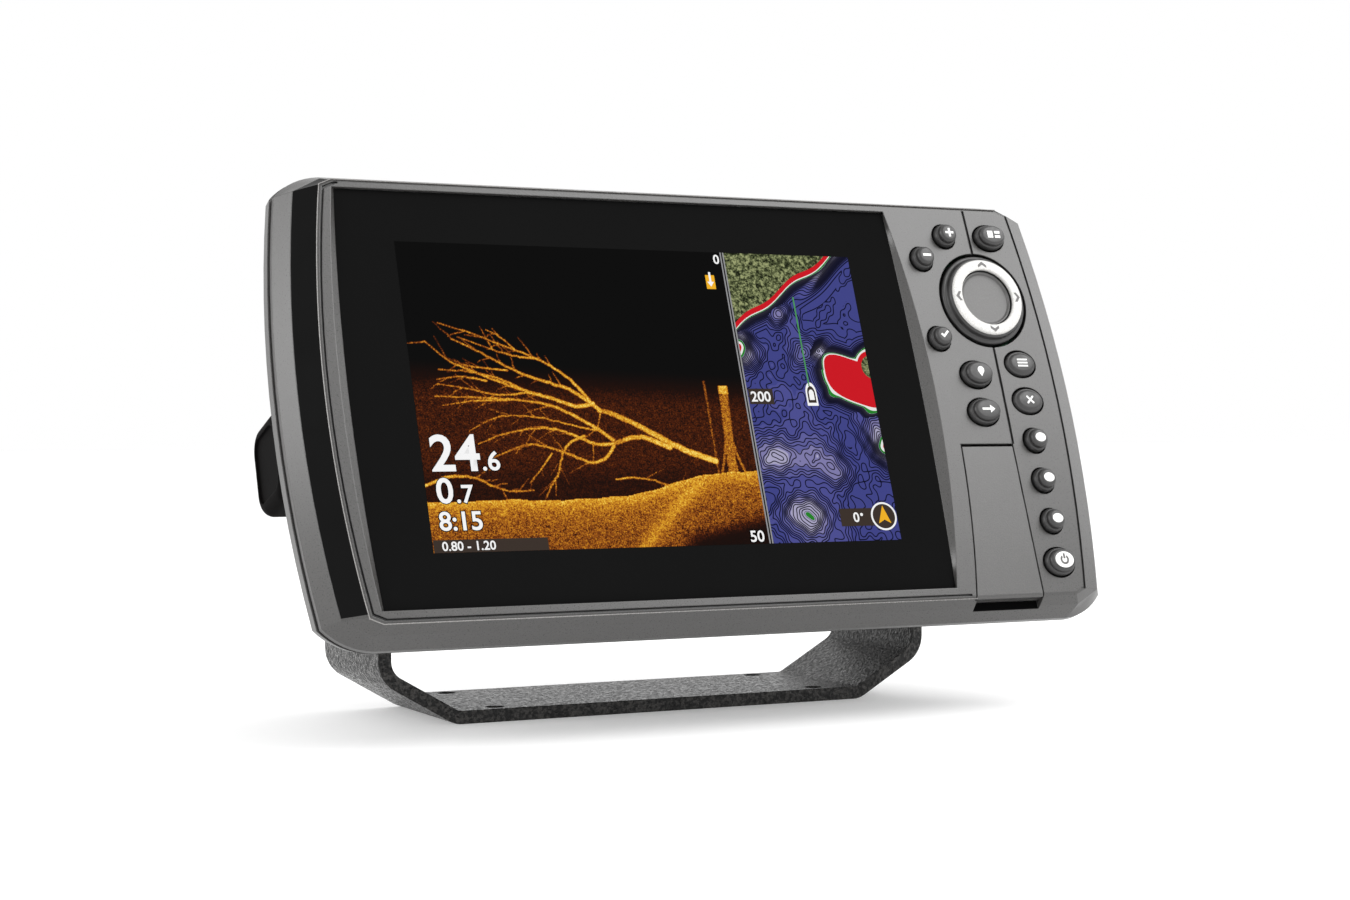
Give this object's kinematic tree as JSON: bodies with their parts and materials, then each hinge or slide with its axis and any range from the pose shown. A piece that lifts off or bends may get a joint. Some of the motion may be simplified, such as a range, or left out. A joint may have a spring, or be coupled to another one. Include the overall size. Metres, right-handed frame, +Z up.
{
  "type": "fish finder",
  "caption": "Marine fish finder: wide glass display head with a side keypad, cursor ring and card door, tilting between clamp knobs in a bent-strap bracket.",
  "frame": {"origin": "centre of the bracket's base, on the surface that the bracket stands on", "axes": "+X to the right of someone facing the screen, +Y away from them, +Z up"},
  "size_m": [0.2682, 0.1223, 0.1622],
  "materials": {
    "powder_coat": "wrinkled powder coat",
    "casing_grey": "satin, fine moulded grain",
    "rear_grey": "moulded grain",
    "trim_black": "gloss",
    "window_glass": "gloss",
    "display": "satin",
    "foam_black": "matte",
    "backlight_white": "matte",
    "frame_steel": "satin",
    "ribbon_amber": "satin",
    "key_rubber": "matte",
    "ring_white": "satin",
    "centre_grey": "satin",
    "board_green": "satin",
    "dome_steel": "polished",
    "post_nylon": "satin",
    "washer_nylon": "satin",
    "seal_rubber": "matte",
    "reader_black": "satin",
    "screw_steel": "satin",
    "stud_steel": "satin",
    "insert_brass": "satin",
    "can_tin": "satin",
    "spreader_aluminium": "satin",
    "patch_ceramic": "matte",
    "socket_black": "satin",
    "pin_brass": "polished",
    "knob_black": "satin"
  },
  "bodies": {
    "bracket": {"gimbal_bracket": "powder_coat"},
    "head": {"front_bezel": "casing_grey", "side_trim": "trim_black", "cover_glass": "window_glass", "glass_adhesive": "foam_black", "lcd_panel": "display", "lcd_backlight": "backlight_white", "lcd_frame": "frame_steel", "display_ribbon": "ribbon_amber", "keypad_mat": "key_rubber", "keypad_board": "board_green", "switch_domes": "dome_steel", "cursor_yoke": "post_nylon", "card_door_pin": "dome_steel", "card_reader": "reader_black", "rear_flange": "casing_grey", "rear_housing": "rear_grey", "housing_gasket": "seal_rubber", "case_screws": "screw_steel", "pivot_inserts": "insert_brass", "friction_pads": "seal_rubber", "main_board": "board_green", "sonar_board": "board_green", "shield_cans": "can_tin", "heat_spreader": "spreader_aluminium", "board_spacers": "insert_brass", "board_screws": "screw_steel", "gps_antenna": "patch_ceramic", "buzzer": "reader_black", "power_socket": "socket_black", "sonar_socket": "socket_black", "network_socket": "socket_black", "socket_pins": "pin_brass", "socket_seals": "seal_rubber", "socket_nuts": "socket_black", "vent_plug": "socket_black"},
    "button_plus": {"button_plus": "key_rubber"},
    "button_minus": {"button_minus": "key_rubber"},
    "button_view": {"button_view": "key_rubber"},
    "button_check": {"button_check": "key_rubber"},
    "button_mark": {"button_mark": "key_rubber"},
    "button_goto": {"button_goto": "key_rubber"},
    "button_menu": {"button_menu": "key_rubber"},
    "button_exit": {"button_exit": "key_rubber"},
    "button_preset_1": {"button_preset_1": "key_rubber"},
    "button_preset_2": {"button_preset_2": "key_rubber"},
    "button_preset_3": {"button_preset_3": "key_rubber"},
    "button_power": {"button_power": "key_rubber"},
    "cursor_gimbal": {"cursor_cross": "post_nylon"},
    "cursor": {"cursor_pad": "key_rubber", "cursor_ring": "ring_white", "cursor_centre": "centre_grey"},
    "card_door": {"card_door": "casing_grey", "card_door_seal": "seal_rubber"},
    "washer_left": {"knob_washer_left": "washer_nylon"},
    "knob_left": {"knob_left": "knob_black", "knob_stud_left": "stud_steel"},
    "washer_right": {"knob_washer_right": "washer_nylon"},
    "knob_right": {"knob_right": "knob_black", "knob_stud_right": "stud_steel"}
  },
  "joints": [
    {"name": "head_tilt", "type": "hinge", "parent": "bracket", "child": "head", "pos_m": [0, 0, 0.0786], "axis": [-1, 0, 0], "range_deg": [-24.68, 40.32]},
    {"name": "plus_press", "type": "slide", "parent": "head", "child": "button_plus", "axis": [0, 0.9416, -0.3368], "range_m": [0, 0.001], "stiffness_N_per_m": 1200, "springref_m": -0.0008},
    {"name": "minus_press", "type": "slide", "parent": "head", "child": "button_minus", "axis": [0, 0.9416, -0.3368], "range_m": [0, 0.001], "stiffness_N_per_m": 1200, "springref_m": -0.0008},
    {"name": "view_press", "type": "slide", "parent": "head", "child": "button_view", "axis": [0, 0.9416, -0.3368], "range_m": [0, 0.001], "stiffness_N_per_m": 1200, "springref_m": -0.0008},
    {"name": "check_press", "type": "slide", "parent": "head", "child": "button_check", "axis": [0, 0.9416, -0.3368], "range_m": [0, 0.001], "stiffness_N_per_m": 1200, "springref_m": -0.0008},
    {"name": "mark_press", "type": "slide", "parent": "head", "child": "button_mark", "axis": [0, 0.9416, -0.3368], "range_m": [0, 0.001], "stiffness_N_per_m": 1200, "springref_m": -0.0008},
    {"name": "goto_press", "type": "slide", "parent": "head", "child": "button_goto", "axis": [0, 0.9416, -0.3368], "range_m": [0, 0.001], "stiffness_N_per_m": 1200, "springref_m": -0.0008},
    {"name": "menu_press", "type": "slide", "parent": "head", "child": "button_menu", "axis": [0, 0.9416, -0.3368], "range_m": [0, 0.001], "stiffness_N_per_m": 1200, "springref_m": -0.0008},
    {"name": "exit_press", "type": "slide", "parent": "head", "child": "button_exit", "axis": [0, 0.9416, -0.3368], "range_m": [0, 0.001], "stiffness_N_per_m": 1200, "springref_m": -0.0008},
    {"name": "preset_1_press", "type": "slide", "parent": "head", "child": "button_preset_1", "axis": [0, 0.9416, -0.3368], "range_m": [0, 0.001], "stiffness_N_per_m": 1200, "springref_m": -0.0008},
    {"name": "preset_2_press", "type": "slide", "parent": "head", "child": "button_preset_2", "axis": [0, 0.9416, -0.3368], "range_m": [0, 0.001], "stiffness_N_per_m": 1200, "springref_m": -0.0008},
    {"name": "preset_3_press", "type": "slide", "parent": "head", "child": "button_preset_3", "axis": [0, 0.9416, -0.3368], "range_m": [0, 0.001], "stiffness_N_per_m": 1200, "springref_m": -0.0008},
    {"name": "power_press", "type": "slide", "parent": "head", "child": "button_power", "axis": [0, 0.9416, -0.3368], "range_m": [0, 0.001], "stiffness_N_per_m": 1200, "springref_m": -0.0008},
    {"name": "cursor_left_right", "type": "hinge", "parent": "head", "child": "cursor_gimbal", "pos_m": [0.1016, -0.04749, 0.12814], "axis": [0, 0.3368, 0.9416], "range_deg": [-4, 4], "stiffness_Nm_per_rad": 0.4},
    {"name": "cursor_up_down", "type": "hinge", "parent": "cursor_gimbal", "child": "cursor", "pos_m": [0.1016, -0.04749, 0.12814], "axis": [1, 0, 0], "range_deg": [-4, 4], "stiffness_Nm_per_rad": 0.4},
    {"name": "card_door_hinge", "type": "hinge", "parent": "head", "child": "card_door", "pos_m": [0.091, -0.06887, 0.08082], "axis": [-1, 0, 0], "range_deg": [0, 105]},
    {"name": "washer_left_slide", "type": "slide", "parent": "head", "child": "washer_left", "axis": [-1, 0, 0], "range_m": [0, 0.003]},
    {"name": "knob_left_turn", "type": "hinge", "parent": "washer_left", "child": "knob_left", "pos_m": [-0.105, 0, 0.0786], "axis": [-1, 0, 0], "range_deg": [0, 1080]},
    {"name": "washer_right_slide", "type": "slide", "parent": "head", "child": "washer_right", "axis": [1, 0, 0], "range_m": [0, 0.003]},
    {"name": "knob_right_turn", "type": "hinge", "parent": "washer_right", "child": "knob_right", "pos_m": [0.105, 0, 0.0786], "axis": [1, 0, 0], "range_deg": [0, 1080]}
  ],
  "couplings": [
    {"joint": "knob_left_turn", "follows": "washer_left_slide", "rad_per_m": 6283.2},
    {"joint": "knob_right_turn", "follows": "washer_right_slide", "rad_per_m": 6283.2}
  ]
}
